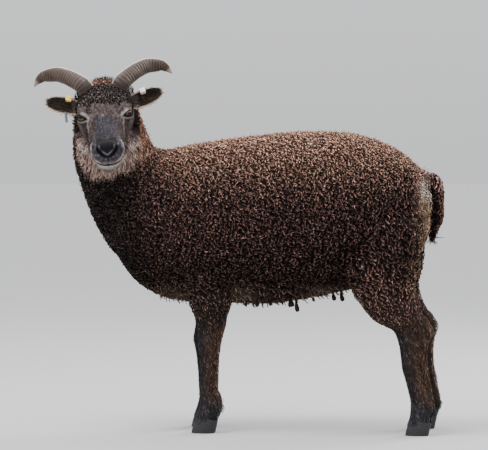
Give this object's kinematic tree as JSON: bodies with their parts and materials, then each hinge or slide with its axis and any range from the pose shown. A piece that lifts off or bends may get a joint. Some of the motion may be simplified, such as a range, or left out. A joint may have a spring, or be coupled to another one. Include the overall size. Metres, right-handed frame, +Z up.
{
  "type": "soay sheep",
  "caption": "Life-size Soay sheep standing in a dark curly fleece, head turned to its left, with short horns and plain ear tags.",
  "frame": {"origin": "middle of the whole bounding box, on the ground under the belly", "axes": "+Z up, -X the way the body faces, +Y the animal's right side, so that its head looks towards -Y"},
  "size_m": [0.8098, 0.3517, 0.7311],
  "materials": {
    "fleece": "curly dark brown wool",
    "face_hair": "short grey-brown hair",
    "leg_hair": "short dark brown hair",
    "ear_hair": "short dark brown hair",
    "horn": "ringed grey-brown horn sheath",
    "hoof": "dark grey horn",
    "eye": "wet amber eye",
    "yellow_tag": "plain yellow tag",
    "white_tag": "plain cream tag",
    "grey_tag": "plain grey tag"
  },
  "bodies": {
    "root": {"head": "face_hair", "neck": "fleece", "torso": "fleece", "tail": "fleece", "leg_front_left": "leg_hair", "leg_front_right": "leg_hair", "leg_hind_left": "leg_hair", "leg_hind_right": "leg_hair", "horn_left": "horn", "horn_right": "horn", "ear_left": "ear_hair", "ear_right": "ear_hair", "eye_left": "eye", "eye_right": "eye", "tag_left": "white_tag", "tag_right": "yellow_tag", "tag_right_lower": "grey_tag", "hoof_front_left_inner": "hoof", "hoof_front_left_outer": "hoof", "hoof_front_right_inner": "hoof", "hoof_front_right_outer": "hoof", "hoof_hind_left_inner": "hoof", "hoof_hind_left_outer": "hoof", "hoof_hind_right_inner": "hoof", "hoof_hind_right_outer": "hoof"}
  },
  "joints": []
}
